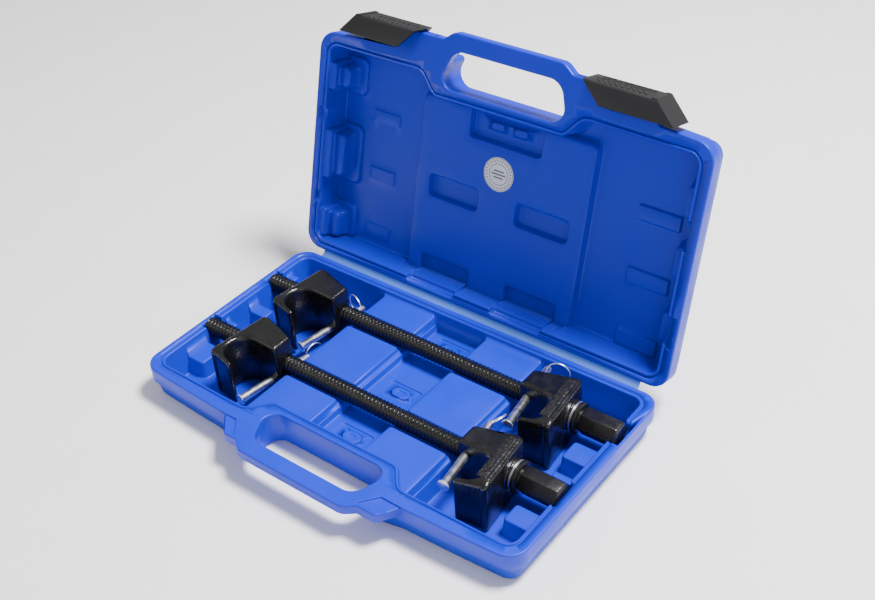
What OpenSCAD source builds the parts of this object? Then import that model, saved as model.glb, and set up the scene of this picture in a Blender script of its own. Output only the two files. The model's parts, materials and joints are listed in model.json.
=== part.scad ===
// Boxed pair of hook-jaw coil spring compressors in a blow-moulded carrying case.
// Millimetres. +X runs along the case, +Y towards the lid's hinge, +Z up.
// The origin is the centre of the case's underside.

/* [Case] */
// Length of the case along X
case_l = 400; // [396:1:404]
// Y of the back rim
back_y = 104; // [103:0.5:104.5]
// Depth of the front corners, as a distance in -Y
front_y = 109; // [108:0.5:110]
// How far the front side bows out at mid length
front_bow = 7; // [5:0.5:8]
// Height of the base, which is the height of the rim
base_h = 33; // [33:1:34]
// Depth of the lid
lid_h = 32; // [32:1:34]
// Angle that the lid is laid open from closed
lid_open = 105; // [90:1:110]
// Y of the living hinge's line
hinge_y = 107.5; // [107.5:0.5:108]

/* [Handle] */
// Outermost reach of the handle in -Y
handle_y = 140; // [139:0.5:142]
// Half thickness of the handle, in each case half
handle_t = 10.5; // [10.4:0.1:11]

/* [Latches] */
// Travel of a latch towards the handle
latch_travel = 14; // [8:1:14]
// Thickness of a latch's walls
latch_t = 3; // [2.5:0.1:3]

/* [Compressors] */
// Y of the front compressor's spindle
front_tool_y = -32; // [-33:0.5:-31]
// Y of the rear compressor's spindle
rear_tool_y = 51; // [50:0.5:52]
// Height of the spindles above the underside
axis_z = 28; // [28:0.5:29]
// Radius of the spindle's thread
rod_r = 8; // [7.5:0.5:8]
// Across flats of the hexagon drive
hex_af = 21; // [19:1:22]
// Half height of a jaw
jaw_h = 25; // [24:0.5:25]
// Length of a jaw along the spindle
jaw_l = 49; // [48:1:50]
// Radius of a safety pin
pin_r = 3.5; // [3:0.25:3.5]
// Distance of a safety pin from the spindle's axis
pin_off = 11.8; // [11.7:0.1:12.2]

/* [Hidden] */

$fn = 48;
half_l = case_l / 2;
wall = 13;                       // rim width, from the outer edge to the tray
lower_inset = 5;                 // how far the lower band stands in from the rim band
band_z = 17;                     // underside of the rim band
floor_z = 2.5;                   // floor of the jaw bays
pad_z = 27;                      // top of the tray's pads
pad_x = [27, 90];                // the pads' reach from mid length
recess_z = 12;                   // floor of the finger recess
channel_z = 19.5;                // floor of the spindle channels
channel_w = 18;                  // width of the spindle channels
tray_back = 93;                  // back wall of the tray
panel_d = 20.5;                  // depth of the lid's centre panel below the rim
bay_d = 28;                      // depth of the lid's bays below the rim
panel_x = 91;
clear = 0.4;                     // gap between pieces that slide past each other
fit = 0.05;                      // radial clearance of a running fit
over = 1;                        // how far a cutter runs past the face it opens

tip_x = -194.5;                  // threaded end of the front spindle
drive_x = 190;                   // drive end of the front spindle
hex_l = 34.5;
neck_r = 9.5;
flange_r = 14;
flange_t = 4;
washer_r = 13.5;
fixed_end = 151;                 // hook's outer edge on the front fixed jaw
boss_end = 147.5;                // face of the fixed jaw's boss, against the washer
washer_end = 149.4;
front_moving_end = -144.5;       // hook's outer edge on the front moving jaw
rear_moving_end = -151.5;        // the same on the rear tool, before the tool's offset
rear_dx = 2;                     // the rear tool lies this much nearer the drive end
thread_root = 6.6;               // radius of the spindle in the clip's groove
clip_t = 1.6;
pin_tilt = 8;                    // splay of a safety pin
pin_u = 43.5;                    // from the jaw's outer end to the pin, level with the spindle
pin_head_y = -52;                // the flanged end of a pin, from the spindle
pin_tail_y = 27;                 // the ringed end of a pin, from the spindle
ring_r = 10;                     // a split ring's mean radius
ring_wire = 0.9;

// ---- outlines -------------------------------------------------------------

function unit(v) = v / norm(v);

// An outline's corner as an arc of radius r
function corner(a, b, c, r) =
    let (u = unit(a - b), w = unit(c - b),
         half = acos(max(-1, min(1, u * w))) / 2,
         reach = r / tan(half),
         mid = b + unit(u + w) * (r / sin(half)),
         p = b + u * reach - mid, q = b + w * reach - mid,
         a0 = atan2(p[1], p[0]), a1 = atan2(q[1], q[0]),
         turn = a1 - a0 > 180 ? a1 - a0 - 360 : a1 - a0 < -180 ? a1 - a0 + 360 : a1 - a0,
         steps = max(2, ceil(abs(turn) / 15)))
    [for (i = [0:steps]) mid + r * [cos(a0 + turn * i / steps), sin(a0 + turn * i / steps)]];

// Rounds the corners of an outline; pts holds [x, y, radius]
function rounded(pts) =
    let (n = len(pts))
    [for (i = [0:n - 1])
        let (a = pts[(i + n - 1) % n], b = pts[i], c = pts[(i + 1) % n])
        each b[2] > 0 ? corner([a[0], a[1]], [b[0], b[1]], [c[0], c[1]], b[2]) : [[b[0], b[1]]]];

function bow(x) = -(front_y + front_bow * (1 - pow(x / half_l, 2)));

// The case's outline, set in by d
function case_outline(d) = rounded(concat(
    [[half_l - d, back_y - d, 16], [-half_l + d, back_y - d, 16], [-half_l + d, bow(-half_l) + d, 18]],
    [for (x = [-160:40:160]) [x, bow(x) + d, 0]],
    [[half_l - d, bow(half_l) + d, 18]]));

// The handle with its latch platforms, on one case half
platform_y = -132;
platform_t = 10;
handle_outline = rounded([
    [-94, -112, 0], [-75, platform_y, 4], [-62, platform_y, 3], [-52, -handle_y, 12],
    [58, -handle_y, 12], [68, platform_y, 3], [86, platform_y, 4], [98, -112, 0], [80, -100, 0],
    [-76, -100, 0]]);
hand_hole = rounded([
    [-66, -89, 12], [68, -89, 12], [58, -124, 15], [-50, -124, 15]]);
tray_outline = rounded([
    [half_l - wall, tray_back, 8], [-half_l + wall, tray_back, 8], [-half_l + wall, -97, 9],
    [-84, -98, 10], [-66, -79, 10], [66, -79, 10], [84, -98, 10], [half_l - wall, -97, 9]]);

// ---- case -----------------------------------------------------------------

// A block from one corner to the opposite one
module block(a, b) translate(a) cube(b - a);

module cradle_cuts(top) {
    for (t = [[front_tool_y, 0], [rear_tool_y, rear_dx]]) {
        translate([tip_x - 1.5 + t[1], t[0], axis_z]) rotate([0, 90, 0]) cylinder(r = rod_r + 0.7, h = 24);
        translate([drive_x - 40 + t[1], t[0], axis_z]) rotate([0, 90, 0]) cylinder(r = flange_r + 0.5, h = 41.5);
        if (top > axis_z) {
            block([tip_x - 1.5 + t[1], t[0] - rod_r - 0.7, axis_z], [tip_x + 20, t[0] + rod_r + 0.7, top]);
            block([drive_x - 30, t[0] - flange_r - 0.5, axis_z], [drive_x + 1.5 + t[1], t[0] + flange_r + 0.5, top]);
        }
    }
}

module base_pads() {
    for (s = [-1, 1])
        block([min(s * pad_x[0], s * pad_x[1]), -90, floor_z - over],
              [max(s * pad_x[0], s * pad_x[1]), tray_back + over, pad_z]);
    block([-pad_x[0] - over, -85, floor_z - over], [pad_x[0] + over, tray_back + over, recess_z]);
    // cradles and stops at the two ends
    block([-half_l + wall - over, -70, floor_z - over], [-167, -43, 19]);
    block([-half_l + wall - over, 12, floor_z - over], [-167, 24, 19]);
    block([158, -70, floor_z - over], [half_l - wall + over, -48, 19]);
    block([164, -13, floor_z - over], [half_l - wall + over, -4, 19]);
    block([158, 12, floor_z - over], [half_l - wall + over, 35, 19]);
}

module case_base() {
    color("royalblue") {
        difference() {
            union() {
                linear_extrude(band_z) polygon(case_outline(lower_inset));
                translate([0, 0, band_z]) linear_extrude(base_h - band_z) polygon(case_outline(0));
                translate([0, 0, base_h - handle_t]) linear_extrude(handle_t) polygon(handle_outline);
            }
            translate([0, 0, -over]) linear_extrude(base_h + 2 * over) polygon(hand_hole);
            difference() {
                translate([0, 0, floor_z]) linear_extrude(base_h) polygon(tray_outline);
                base_pads();
            }
            for (y = [front_tool_y, rear_tool_y])
                block([-pad_x[1] - over, y - channel_w / 2, channel_z], [pad_x[1] + over, y + channel_w / 2, base_h]);
            cradle_cuts(base_h + over);
            // the latches' lower flanges pass under the platforms
            for (s = [-1, 1])
                block([min(s * 60, s * 110), -140, -over], [max(s * 60, s * 110), -116.7, base_h - platform_t]);
        }
    }
}

// Turns what is drawn closed to the open rest position
module opened() {
    translate([0, hinge_y, base_h]) rotate([-lid_open, 0, 0]) translate([0, -hinge_y, -base_h]) children();
}

// Blocks standing in the lid's cavity; depths are measured from the rim
module lid_blocks() {
    top = base_h + lid_h;
    difference() {
        block([-panel_x, -75, base_h + panel_d], [panel_x, 97, top]);
        for (s = [-1, 1])
            for (y = [[-2, 19], [77, 97]])
                block([min(s * 20, s * 75), y[0], base_h], [max(s * 20, s * 75), y[1], base_h + bay_d]);
        block([-38, -73, base_h], [38, -48, base_h + bay_d]);
    }
    for (y = [[-82, -55], [-17, 32], [62, 92]])
        block([-half_l + wall - over, y[0], base_h + 10], [-168, y[1], top]);
    for (y = [[-36, -23], [20, 34], [77, 92]])
        block([134, y[0], base_h + bay_d - 2], [172, y[1], top]);
}

module case_lid() {
    color("mediumblue") opened() difference() {
        union() {
            translate([0, 0, base_h]) linear_extrude(lid_h - 5) polygon(case_outline(0));
            translate([0, 0, base_h]) linear_extrude(lid_h) polygon(case_outline(lower_inset));
            translate([0, 0, base_h]) linear_extrude(handle_t) polygon(handle_outline);
            // rails that the latches ride on
            for (s = [-1, 1])
                translate([0, 0, base_h]) linear_extrude(platform_t)
                    polygon([[s * 150, -108], [s * 134, platform_y], [s * 70, platform_y], [s * 70, -108]]);
        }
        translate([0, 0, base_h - over]) linear_extrude(lid_h + 2 * over) polygon(hand_hole);
        difference() {
            translate([0, 0, base_h - over]) linear_extrude(bay_d + over) polygon(tray_outline);
            lid_blocks();
        }
        cradle_cuts(0);
        for (s = [-1, 1])
            block([min(s * 60, s * 160), -140, base_h + platform_t], [max(s * 60, s * 160), -116.7, base_h + lid_h + over]);
    }
}

web_x = 176.5;
web_t = 1.2;

module hinge_web_base() {
    color("cornflowerblue")
        block([-web_x, back_y, base_h - web_t], [web_x, hinge_y - 0.3, base_h]);
}

module hinge_web_lid() {
    color("cornflowerblue") opened()
        block([-web_x, back_y, base_h + 0.1], [web_x, hinge_y - 0.3, base_h + 0.1 + web_t]);
}

latch_shut = 69;                 // a latch's near end when it is shut
latch_near = latch_shut + latch_travel;
latch_far = latch_near + 85;     // the same end and the far end when slid open

// A channel that wraps both platforms; s is -1 for the left latch and 1 for the right
module latch(s) {
    inner_y = -117;
    outer_y = platform_y - clear - latch_t;
    half_z = platform_t + clear + latch_t;
    slope = inner_y - outer_y;
    outline = [[s * latch_far, inner_y], [s * (latch_far - slope), outer_y],
               [s * latch_near, outer_y], [s * (latch_near + slope), inner_y]];
    difference() {
        translate([0, 0, base_h - half_z]) linear_extrude(2 * half_z) polygon(outline);
        block([-200, outer_y + latch_t, base_h - half_z + latch_t], [200, 0, base_h + half_z - latch_t]);
    }
    // the wall that closes the far end
    end_t = 3.5;
    translate([0, 0, base_h - half_z]) linear_extrude(2 * half_z)
        polygon([[s * latch_far, inner_y], [s * (latch_far - slope), outer_y],
                 [s * (latch_far - slope - end_t), outer_y], [s * (latch_far - end_t), inner_y]]);
}

module latch_left() { color([0.05, 0.05, 0.05]) opened() latch(-1); }
module latch_right() { color([0.05, 0.05, 0.05]) opened() latch(1); }

module label_disc() {
    color("gainsboro") opened()
        translate([-1.5, -22.5, base_h + panel_d - 0.5]) cylinder(r = 15.5, h = 0.5);
}

// ---- compressors ----------------------------------------------------------
// Each is drawn along X with its spindle on the X axis, then put in the case.

module placed(rear) {
    translate([rear ? rear_dx : 0, rear ? rear_tool_y : front_tool_y, axis_z]) children();
}

module rod(x0, x1, r) { translate([x0, 0, 0]) rotate([0, 90, 0]) cylinder(r = r, h = x1 - x0); }

flange_x = washer_end + 0.1;
clip_x = fixed_end - jaw_l - 0.5 - clip_t;

module spindle() {
    difference() {
        union() {
            rod(tip_x + 1.5, flange_x, rod_r);
            translate([tip_x, 0, 0]) rotate([0, 90, 0]) cylinder(r1 = rod_r - 1.5, r2 = rod_r, h = 1.5);
        }
        difference() {
            rod(clip_x - 0.05, clip_x + clip_t + 0.05, rod_r + over);
            rod(clip_x - over, clip_x + clip_t + over, thread_root);
        }
    }
    rod(flange_x, flange_x + flange_t, flange_r);
    rod(flange_x, drive_x - hex_l + over, neck_r);
    translate([drive_x - hex_l, 0, 0]) rotate([0, 90, 0]) rotate([0, 0, 30])
        cylinder(r = hex_af / 2 / cos(30), h = hex_l, $fn = 6);
}

module thrust_washer() {
    difference() {
        rod(boss_end + 0.1, washer_end, washer_r);
        rod(boss_end, washer_end + over, rod_r + fit);
    }
}

// An open snap ring in the spindle's groove
module retaining_ring() {
    difference() {
        rod(clip_x, clip_x + clip_t, rod_r + 2.5);
        rod(clip_x - over, clip_x + clip_t + over, thread_root + fit);
        block([clip_x - over, -3.5, -rod_r - 5], [clip_x + clip_t + over, 3.5, 0]);
    }
}

// Outline of a jaw: x = 0 is the hook's outer edge at its tip, and the hook points to -Y
hook_c = [25, -29];
hook_r = 15.5;
jaw_lean = 7;                    // how far the outer edge leans in from tip to back
jaw_outline = concat(
    rounded([[0, -49.5, 5], [jaw_lean, 18, 5], [jaw_lean + 6, 18, 3], [jaw_l, 7, 4], [jaw_l, -13.5, 2]]),
    [for (a = [90:10:250]) hook_c + hook_r * [cos(a), sin(a)]],
    [[24, -44.5], [27.5, -45.4], [28, -48.6]]);
boss_u = fixed_end - boss_end;   // the boss face, from the hook's outer edge

module pin_place(s) {
    translate([pin_u, 0, s * pin_off]) rotate([0, 0, -pin_tilt]) rotate([-90, 0, 0]) children();
}

// A jaw as drawn, with its hook at the low-X end; s puts the pin above or below the spindle
module jaw(s) {
    difference() {
        union() {
            translate([0, 0, -jaw_h]) linear_extrude(2 * jaw_h) polygon(jaw_outline);
            rod(boss_u, boss_u + 6, washer_r);
        }
        rod(-over, jaw_l + over, rod_r + fit);
        pin_place(s) translate([0, 0, -60]) cylinder(r = pin_r + fit, h = 120);
    }
}

module moving_side(rear) {
    placed(rear) translate([rear ? rear_moving_end : front_moving_end, 0, 0]) children();
}

module fixed_side(rear) {
    placed(rear) translate([fixed_end, 0, 0]) mirror([1, 0, 0]) children();
}

// Safety pin with a flanged head, cross-drilled at its tail; turn aims the cross hole
module pin(s, turn) {
    pin_place(s) difference() {
        union() {
            translate([0, 0, pin_head_y + 2]) cylinder(r = pin_r, h = pin_tail_y - pin_head_y - 2);
            translate([0, 0, pin_head_y]) cylinder(r = 5.5, h = 2);
        }
        translate([0, 0, pin_tail_y - 3.5]) rotate([0, 0, turn]) rotate([90, 0, 0])
            translate([0, 0, -5]) cylinder(r = 1.6, h = 10);
    }
}

// Split ring through the pin's tail, swung by swing about the cross hole
module split_ring(s, turn, swing) {
    pin_place(s) translate([0, 0, pin_tail_y - 3.5]) rotate([0, 0, turn]) rotate([0, swing, 0])
        translate([0, 0, ring_r]) rotate([0, 90, 0])
            rotate_extrude() translate([ring_r, 0]) circle(r = ring_wire, $fn = 24);
}

// Where each ring hangs: the turn of its cross hole and its swing
upper_turn = -45;
lower_turn = 0;
front_swing = [-15, 0];          // fixed jaw, moving jaw
rear_swing = [-80, -80];

module front_spindle() { color([0.12, 0.12, 0.12]) placed(false) spindle(); }
module rear_spindle() { color([0.12, 0.12, 0.12]) placed(true) spindle(); }
module front_thrust_washer() { color("silver") placed(false) thrust_washer(); }
module rear_thrust_washer() { color("silver") placed(true) thrust_washer(); }
module front_retaining_ring() { color("dimgray") placed(false) retaining_ring(); }
module rear_retaining_ring() { color("dimgray") placed(true) retaining_ring(); }
module front_fixed_jaw() { color([0.1, 0.1, 0.1]) fixed_side(false) jaw(1); }
module rear_fixed_jaw() { color([0.1, 0.1, 0.1]) fixed_side(true) jaw(1); }
module front_moving_jaw() { color([0.1, 0.1, 0.1]) moving_side(false) jaw(-1); }
module rear_moving_jaw() { color([0.1, 0.1, 0.1]) moving_side(true) jaw(-1); }
module front_pin_fixed() { color("silver") fixed_side(false) pin(1, upper_turn); }
module rear_pin_fixed() { color("silver") fixed_side(true) pin(1, lower_turn); }
module front_pin_moving() { color("silver") moving_side(false) pin(-1, lower_turn); }
module rear_pin_moving() { color("silver") moving_side(true) pin(-1, lower_turn); }
module front_split_ring_fixed() { color("silver") fixed_side(false) split_ring(1, upper_turn, front_swing[0]); }
module rear_split_ring_fixed() { color("silver") fixed_side(true) split_ring(1, lower_turn, rear_swing[0]); }
module front_split_ring_moving() { color("silver") moving_side(false) split_ring(-1, lower_turn, front_swing[1]); }
module rear_split_ring_moving() { color("silver") moving_side(true) split_ring(-1, lower_turn, rear_swing[1]); }

case_base();
case_lid();
hinge_web_base();
hinge_web_lid();
latch_left();
latch_right();
label_disc();
front_spindle();
front_thrust_washer();
front_fixed_jaw();
front_moving_jaw();
front_retaining_ring();
front_pin_fixed();
front_pin_moving();
front_split_ring_fixed();
front_split_ring_moving();
rear_spindle();
rear_thrust_washer();
rear_fixed_jaw();
rear_moving_jaw();
rear_retaining_ring();
rear_pin_fixed();
rear_pin_moving();
rear_split_ring_fixed();
rear_split_ring_moving();
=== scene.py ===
import json
import math
import bmesh
import bpy
import numpy as np
from mathutils import Matrix, Vector
from mathutils.geometry import delaunay_2d_cdt


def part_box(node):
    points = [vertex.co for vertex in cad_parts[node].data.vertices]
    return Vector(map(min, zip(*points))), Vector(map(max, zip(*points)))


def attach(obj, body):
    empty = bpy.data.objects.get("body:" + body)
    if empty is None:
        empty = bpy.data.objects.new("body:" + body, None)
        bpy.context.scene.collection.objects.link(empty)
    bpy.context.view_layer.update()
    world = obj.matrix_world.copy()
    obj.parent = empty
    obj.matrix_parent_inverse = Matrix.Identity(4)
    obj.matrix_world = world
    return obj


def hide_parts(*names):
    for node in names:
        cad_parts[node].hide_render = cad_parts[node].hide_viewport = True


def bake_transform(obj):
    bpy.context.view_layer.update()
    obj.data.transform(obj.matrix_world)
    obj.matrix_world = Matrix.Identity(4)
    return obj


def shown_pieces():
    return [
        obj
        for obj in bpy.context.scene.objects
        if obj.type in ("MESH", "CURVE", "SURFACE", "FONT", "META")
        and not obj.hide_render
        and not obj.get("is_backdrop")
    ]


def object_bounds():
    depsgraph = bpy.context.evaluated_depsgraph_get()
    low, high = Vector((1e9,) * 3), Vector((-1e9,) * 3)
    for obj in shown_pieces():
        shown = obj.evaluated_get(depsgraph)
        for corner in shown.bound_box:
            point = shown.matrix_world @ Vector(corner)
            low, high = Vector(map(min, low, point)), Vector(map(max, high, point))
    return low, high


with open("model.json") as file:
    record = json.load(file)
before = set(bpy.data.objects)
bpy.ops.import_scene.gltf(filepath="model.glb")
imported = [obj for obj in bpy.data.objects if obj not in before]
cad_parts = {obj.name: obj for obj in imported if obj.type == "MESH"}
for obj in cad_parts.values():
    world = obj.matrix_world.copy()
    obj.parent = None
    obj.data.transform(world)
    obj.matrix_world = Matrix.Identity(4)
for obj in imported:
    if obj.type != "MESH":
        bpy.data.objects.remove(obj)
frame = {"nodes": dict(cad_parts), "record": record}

# Sizes are in millimetres, in the frame's axes at rest: X along the case, Y towards the hinge, Z up.
# Both case halves are built shut, with the rims meeting at RIM_Z; TO_OPEN turns the lid's pieces open.
MM = 0.001
CAD_LOW, CAD_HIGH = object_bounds()


def mm_box(node):
    """The box of a CAD node at rest, in millimetres."""
    lo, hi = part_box(node)
    return np.array(lo) / MM, np.array(hi) / MM


JOINTS = {j["name"]: j for j in frame["record"]["behaviour"]["joints"]}
case_lo, case_hi = mm_box("case_base")
HALF_L = case_hi[0]
BACK_Y = case_hi[1]
HANDLE_Y = case_lo[1]
RIM_Z = case_hi[2]
HINGE_Y, HINGE_Z = (v / MM for v in JOINTS["lid_hinge"]["pos_m"][1:])
LID_OPEN = JOINTS["lid_hinge"]["range_deg"][1]
FRONT_Y = 109.0  # the case's front is this far forward at its ends
BOW = 7.0  # and this much further in the middle
PLATFORM_Y = -132.0  # front of the platforms under the latches
EDGE = 1.5  # fillet radius of the case's rims
CASE_DEPTH = RIM_Z
LID_DEPTH = 32.0
SLAB = 10.5  # thickness of the handle in each half
TO_OPEN = (
    Matrix.Translation((0, HINGE_Y * MM, HINGE_Z * MM))
    @ Matrix.Rotation(-math.radians(LID_OPEN), 4, "X")
    @ Matrix.Translation((0, -HINGE_Y * MM, -HINGE_Z * MM))
)


# ---- materials ---------------------------------------------------------------


NOISE_LOW, NOISE_HIGH = 0.3, 0.7  # most of a noise texture's values lie between these
BUMP_DISTANCE = 0.0006  # metres


def material(
    name,
    color,
    rough,
    metal=0.0,
    specular=0.3,
    grain=0.0,
    grain_scale=900.0,
    mottle=0.0,
    mottle_scale=25.0,
    rough_vary=0.08,
):
    """Uneven colour and roughness from a wide noise, and bump from a fine one."""
    m = bpy.data.materials.new(name)
    m.use_nodes = True
    nt = m.node_tree
    b = nt.nodes["Principled BSDF"]
    b.inputs["Metallic"].default_value = metal
    b.inputs["Specular IOR Level"].default_value = specular
    co = nt.nodes.new("ShaderNodeTexCoord")
    wide = nt.nodes.new("ShaderNodeTexNoise")
    wide.inputs["Scale"].default_value = mottle_scale
    wide.inputs["Detail"].default_value = 4.0
    nt.links.new(co.outputs["Object"], wide.inputs["Vector"])
    mix = nt.nodes.new("ShaderNodeMix")
    mix.data_type = "RGBA"
    mix.inputs["A"].default_value = (*[c * (1 - mottle) for c in color], 1)
    mix.inputs["B"].default_value = (*[min(1, c * (1 + mottle)) for c in color], 1)
    nt.links.new(wide.outputs["Fac"], mix.inputs["Factor"])
    nt.links.new(mix.outputs["Result"], b.inputs["Base Color"])
    span = nt.nodes.new("ShaderNodeMapRange")
    span.inputs["From Min"].default_value = NOISE_LOW
    span.inputs["From Max"].default_value = NOISE_HIGH
    span.inputs["To Min"].default_value = max(0.02, rough - rough_vary)
    span.inputs["To Max"].default_value = min(1.0, rough + rough_vary)
    nt.links.new(wide.outputs["Fac"], span.inputs["Value"])
    nt.links.new(span.outputs["Result"], b.inputs["Roughness"])
    if grain:
        fine = nt.nodes.new("ShaderNodeTexNoise")
        fine.inputs["Scale"].default_value = grain_scale
        fine.inputs["Detail"].default_value = 3.0
        nt.links.new(co.outputs["Object"], fine.inputs["Vector"])
        bump = nt.nodes.new("ShaderNodeBump")
        bump.inputs["Strength"].default_value = grain
        bump.inputs["Distance"].default_value = BUMP_DISTANCE
        nt.links.new(fine.outputs["Fac"], bump.inputs["Height"])
        nt.links.new(bump.outputs["Normal"], b.inputs["Normal"])
    return m


SMOOTH = {"grain": 0.10, "grain_scale": 1500, "mottle": 0.05}
GRAINED = {"grain": 0.9, "grain_scale": 620, "mottle": 0.14, "mottle_scale": 60}
M_BASE = material("base_blue", (0.001, 0.019, 0.56), 0.42, **SMOOTH)
M_BASE_GRAIN = material("base_blue_grained", (0.003, 0.032, 0.50), 0.58, **GRAINED)
# painted shade: the lid's two blues are the base's plastic made darker, standing in for the shade on the
# lid's inside
M_LID_SHADED = material("lid_blue_shaded", (0.001, 0.015, 0.48), 0.40, **SMOOTH)
M_LID_GRAIN_SHADED = material("lid_blue_grained_shaded", (0.002, 0.026, 0.43), 0.58, **GRAINED)
M_WEB = material("web_blue", (0.05, 0.13, 0.50), 0.45, grain=0.08, mottle=0.06)
M_LATCH = material("latch_black", (0.012, 0.012, 0.013), 0.46, grain=0.35, grain_scale=1300, mottle=0.2)
M_PAINT = material(
    "black_paint",
    (0.005, 0.005, 0.0055),
    0.26,
    specular=0.5,
    grain=0.45,
    grain_scale=520,
    mottle=0.25,
    mottle_scale=90,
    rough_vary=0.12,
)
M_CAST = material(
    "black_cast",
    (0.007, 0.007, 0.0075),
    0.42,
    grain=1.0,
    grain_scale=380,
    mottle=0.35,
    mottle_scale=300,
    rough_vary=0.15,
)
M_SCREW = material(
    "black_screw",
    (0.006, 0.0058, 0.0055),
    0.32,
    specular=0.45,
    grain=0.25,
    grain_scale=700,
    mottle=0.3,
    mottle_scale=120,
)
M_HEX = material(
    "black_hex",
    (0.008, 0.0077, 0.0074),
    0.31,
    specular=0.5,
    grain=0.3,
    grain_scale=420,
    mottle=0.3,
    mottle_scale=120,
)
M_ZINC = material("zinc", (0.82, 0.83, 0.86), 0.36, metal=1.0, grain=0.06, mottle=0.08, mottle_scale=180)
M_PAPER = material("paper", (0.66, 0.68, 0.74), 0.5, mottle=0.03)
M_INK = material("ink", (0.10, 0.11, 0.15), 0.5, mottle=0.03)


# ---- outlines ----------------------------------------------------------------


def rounded(pts, step=10.0):
    """Points along a closed outline given as (x, y, corner radius), step degrees apart on corners."""
    out = []
    n = len(pts)
    for i in range(n):
        a, b, c = (np.array(pts[j % n][:2], float) for j in (i - 1, i, i + 1))
        r = pts[i][2]
        if r <= 0:
            out.append(b)
            continue
        u = (a - b) / np.linalg.norm(a - b)
        w = (c - b) / np.linalg.norm(c - b)
        half = math.acos(max(-1.0, min(1.0, float(u @ w)))) / 2
        mid = b + (u + w) / np.linalg.norm(u + w) * (r / math.sin(half))
        p = b + u * (r / math.tan(half)) - mid
        q = b + w * (r / math.tan(half)) - mid
        a0 = math.atan2(p[1], p[0])
        turn = (math.atan2(q[1], q[0]) - a0 + math.pi) % (2 * math.pi) - math.pi
        k = max(2, math.ceil(abs(math.degrees(turn)) / step))
        for t in range(k + 1):
            a = a0 + turn * t / k
            out.append(mid + r * np.array([math.cos(a), math.sin(a)]))
    return np.array(out)


MITRE = 0.35  # keeps the points of sharp corners from running away


def inset(poly, d):
    """A closed anticlockwise outline moved inwards by d."""
    e = np.roll(poly, -1, 0) - poly
    e /= np.linalg.norm(e, axis=1)[:, None] + 1e-12
    n = np.stack([-e[:, 1], e[:, 0]], 1)
    n0 = np.roll(n, 1, 0)
    return poly + d * (n0 + n) / (1 + (n0 * n).sum(1))[:, None].clip(MITRE)


def anticlockwise(p):
    area = (p[:, 0] * np.roll(p[:, 1], -1) - np.roll(p[:, 0], -1) * p[:, 1]).sum()
    return p[::-1] if area < 0 else p


class Shape:
    """A closed outline: its distance field (positive inside) and its offset rings."""

    BLOCK = 4000  # points measured at once

    def __init__(self, pts, step=10.0):
        p = anticlockwise(rounded(pts, step))
        keep = np.linalg.norm(p - np.roll(p, 1, 0), axis=1) > 1e-3
        self.p = p[keep]

    @classmethod
    def through(cls, p):
        """The shape whose outline is p as it stands."""
        shape = cls.__new__(cls)
        shape.p = np.asarray(p)
        return shape

    def ring(self, d):
        return inset(self.p, d)

    def sd(self, P):
        """Distance of each point from the outline, positive inside."""
        a = self.p
        b = np.roll(a, -1, 0)
        out = np.empty(len(P))
        for s in range(0, len(P), self.BLOCK):
            q = P[s : s + self.BLOCK, None, :]
            ab = b - a
            t = (((q - a) * ab).sum(2) / (ab * ab).sum(1)).clip(0, 1)
            dist = np.sqrt((((q - a) - t[..., None] * ab) ** 2).sum(2)).min(1)
            x, y = q[..., 0], q[..., 1]
            cross = (a[:, 1] > y) != (b[:, 1] > y)
            with np.errstate(divide="ignore", invalid="ignore"):
                at = (b[:, 0] - a[:, 0]) * (y - a[:, 1]) / (b[:, 1] - a[:, 1]) + a[:, 0]
                hit = cross & (x < at)
            out[s : s + self.BLOCK] = np.where(hit.sum(1) % 2 == 1, dist, -dist)
        return out


def rect(x0, x1, y0, y1, r, step=15.0):
    x0, x1 = min(x0, x1), max(x0, x1)
    return Shape([[x0, y0, r], [x1, y0, r], [x1, y1, r], [x0, y1, r]], step)


def front_line(x):
    """Y of the case's bowed front."""
    return -(FRONT_Y + BOW * (1 - (x / HALF_L) ** 2))


def meets_front(p, q):
    """Where the line from p to q crosses the case's front line."""
    lo, hi = 0.0, 1.0
    side = p[1] > front_line(p[0])
    for _ in range(30):
        t = (lo + hi) / 2
        x, y = p[0] + (q[0] - p[0]) * t, p[1] + (q[1] - p[1]) * t
        if (y > front_line(x)) == side:
            lo = t
        else:
            hi = t
    return x, front_line(x)


def front_points(x0, x1, n=5):
    """Outline points along the front, from x0 to x1."""
    return [[x, front_line(x), 0] for x in np.linspace(x0, x1, n)]


# outlines are lists of (x, y, corner radius)
CORNERS = [[HALF_L, BACK_Y, 16], [-HALF_L, BACK_Y, 16], [-HALF_L, front_line(-HALF_L), 18]]
FAR = [[HALF_L, front_line(HALF_L), 18]]
LEFT_MEET = meets_front((-94, -112), (-75, PLATFORM_Y))
RIGHT_MEET = meets_front((98, -112), (86, PLATFORM_Y))
HOLE_LEFT = meets_front((-66, -89), (-50, -124))
HOLE_RIGHT = meets_front((68, -89), (58, -124))
HOLE_BACK = [[-66, -89, 12], [68, -89, 12]]
HANDLE = [
    [-75, PLATFORM_Y, 4],
    [-62, PLATFORM_Y, 3],
    [-52, HANDLE_Y + 0.2, 12],
    [58, HANDLE_Y + 0.2, 12],
    [68, PLATFORM_Y, 3],
    [86, PLATFORM_Y, 4],
]
HOLE = Shape([*HOLE_BACK, [58, -124, 15], [-50, -124, 15]], 8)
RIM = Shape(  # case and handle together
    [
        *CORNERS,
        *front_points(-160, LEFT_MEET[0] - 4),
        [*LEFT_MEET, 2],
        *HANDLE,
        [*RIGHT_MEET, 2],
        *front_points(RIGHT_MEET[0] + 4, 160),
        *FAR,
    ],
    8,
)
BODY = Shape(  # the deep part of the case, behind the handle
    [
        *CORNERS,
        *front_points(-160, HOLE_LEFT[0] - 11),
        [*HOLE_LEFT, 5],
        *HOLE_BACK,
        [*HOLE_RIGHT, 5],
        *front_points(HOLE_RIGHT[0] + 11, 160),
        *FAR,
    ],
    8,
)
TRAY_END = HALF_L - 13
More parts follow.
